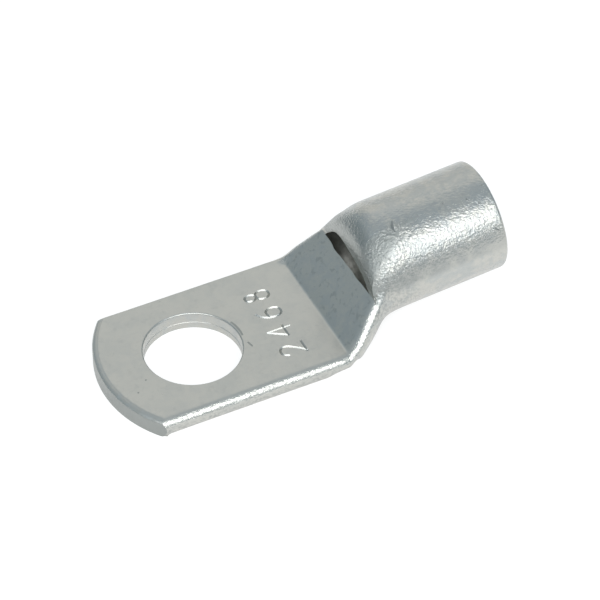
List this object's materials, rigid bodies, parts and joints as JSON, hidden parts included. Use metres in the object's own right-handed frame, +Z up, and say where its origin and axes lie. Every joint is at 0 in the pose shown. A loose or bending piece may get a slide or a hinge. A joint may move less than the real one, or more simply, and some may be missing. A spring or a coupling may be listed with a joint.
{
  "type": "cable lug",
  "caption": "Tin-plated copper tube lug: a flat palm with a stud hole, a pressed ramp with a sight opening, and a round barrel for the conductor.",
  "frame": {"origin": "centre of the stud hole on the palm's underside", "axes": "+X from the stud hole to the barrel's mouth, +Y across the palm, +Z up through the stud hole"},
  "size_m": [0.0451, 0.0176, 0.0135],
  "materials": {
    "tinned_copper": "satin tin plate"
  },
  "bodies": {
    "root": {"cable_lug": "tinned_copper"}
  },
  "joints": []
}
